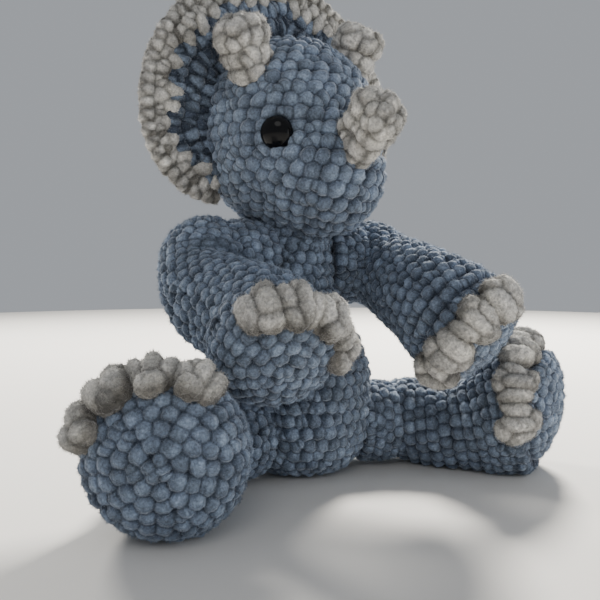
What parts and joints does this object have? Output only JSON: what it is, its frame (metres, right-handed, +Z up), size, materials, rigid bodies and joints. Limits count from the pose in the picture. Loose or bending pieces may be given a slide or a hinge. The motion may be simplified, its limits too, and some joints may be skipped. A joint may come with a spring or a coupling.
{
  "type": "stuffed toy dinosaur",
  "caption": "Sitting crocheted triceratops soft toy with pale horns, toes and frill edge; head, limbs and tail turn on sewn joints.",
  "frame": {"origin": "on the floor, at the middle of the flat patch under the body", "axes": "the toy faces -Y, its own left side is +X, +Z is up"},
  "size_m": [0.2957, 0.2353, 0.2945],
  "materials": {
    "blue_chenille": "soft dusty blue chenille yarn, crocheted, matt",
    "cream_chenille": "soft off-white chenille yarn, crocheted, matt",
    "white_fibre": "loose polyester filling",
    "black_plastic": "polished",
    "clear_plastic": "satin"
  },
  "bodies": {
    "torso": {"body_cover": "blue_chenille", "body_stuffing": "white_fibre", "left_shoulder_seam": "blue_chenille", "right_shoulder_seam": "blue_chenille", "tail_seam": "blue_chenille"},
    "neck": {"neck_seam": "blue_chenille"},
    "head": {"frill": "blue_chenille", "frill_seam": "blue_chenille", "frill_trim": "cream_chenille", "head_cover": "blue_chenille", "head_stuffing": "white_fibre", "left_brow_horn": "cream_chenille", "left_brow_horn_seam": "cream_chenille", "left_brow_horn_stuffing": "white_fibre", "left_eye": "black_plastic", "left_eye_washer": "clear_plastic", "nose_horn": "cream_chenille", "nose_horn_seam": "cream_chenille", "nose_horn_stuffing": "white_fibre", "right_brow_horn": "cream_chenille", "right_brow_horn_seam": "cream_chenille", "right_brow_horn_stuffing": "white_fibre", "right_eye": "black_plastic", "right_eye_washer": "clear_plastic"},
    "right_arm": {"right_arm_cover": "blue_chenille", "right_arm_stuffing": "white_fibre", "right_paw_toe_1": "cream_chenille", "right_paw_toe_2": "cream_chenille", "right_paw_toe_3": "cream_chenille", "right_paw_toe_4": "cream_chenille"},
    "left_arm": {"left_arm_cover": "blue_chenille", "left_arm_stuffing": "white_fibre", "left_paw_toe_1": "cream_chenille", "left_paw_toe_2": "cream_chenille", "left_paw_toe_3": "cream_chenille", "left_paw_toe_4": "cream_chenille"},
    "right_hip": {"right_hip_seam": "blue_chenille"},
    "right_leg": {"right_foot_toe_1": "cream_chenille", "right_foot_toe_2": "cream_chenille", "right_foot_toe_3": "cream_chenille", "right_foot_toe_4": "cream_chenille", "right_leg_cover": "blue_chenille", "right_leg_stuffing": "white_fibre"},
    "left_hip": {"left_hip_seam": "blue_chenille"},
    "left_leg": {"left_foot_toe_1": "cream_chenille", "left_foot_toe_2": "cream_chenille", "left_foot_toe_3": "cream_chenille", "left_foot_toe_4": "cream_chenille", "left_leg_cover": "blue_chenille", "left_leg_stuffing": "white_fibre"},
    "tail": {"tail_cover": "blue_chenille", "tail_stuffing": "white_fibre"}
  },
  "joints": [
    {"name": "head_turn", "type": "hinge", "parent": "torso", "child": "neck", "pos_m": [-0.003, 0.005, 0.178], "axis": [0, 0, 1], "range_deg": [-20, 20]},
    {"name": "head_nod", "type": "hinge", "parent": "neck", "child": "head", "pos_m": [-0.003, 0.005, 0.178], "axis": [0.9848, 0.1736, 0], "range_deg": [-8, 0]},
    {"name": "right_arm_swing", "type": "hinge", "parent": "torso", "child": "right_arm", "pos_m": [-0.05611, 0.00402, 0.122], "axis": [-1, 0, 0], "range_deg": [0, 27]},
    {"name": "left_arm_swing", "type": "hinge", "parent": "torso", "child": "left_arm", "pos_m": [0.05129, 0.00402, 0.122], "axis": [-1, 0, 0], "range_deg": [0, 27]},
    {"name": "right_leg_lift", "type": "hinge", "parent": "torso", "child": "right_hip", "pos_m": [-0.0675, -0.01662, 0.026], "axis": [-0.9703, -0.2419, 0], "range_deg": [0, 4]},
    {"name": "right_leg_spread", "type": "hinge", "parent": "right_hip", "child": "right_leg", "pos_m": [-0.0675, -0.01662, 0.026], "axis": [0, 0, -1], "range_deg": [0, 18]},
    {"name": "left_leg_lift", "type": "hinge", "parent": "torso", "child": "left_hip", "pos_m": [0.06728, -0.01662, 0.026], "axis": [-0.9703, 0.2419, 0], "range_deg": [0, 25]},
    {"name": "left_leg_spread", "type": "hinge", "parent": "left_hip", "child": "left_leg", "pos_m": [0.06728, -0.01662, 0.026], "axis": [0, 0, 1], "range_deg": [-2, 18]},
    {"name": "tail_wag", "type": "hinge", "parent": "torso", "child": "tail", "pos_m": [-0.00007, 0.06214, 0.021], "axis": [0, 0, 1], "range_deg": [-20, 20]}
  ]
}
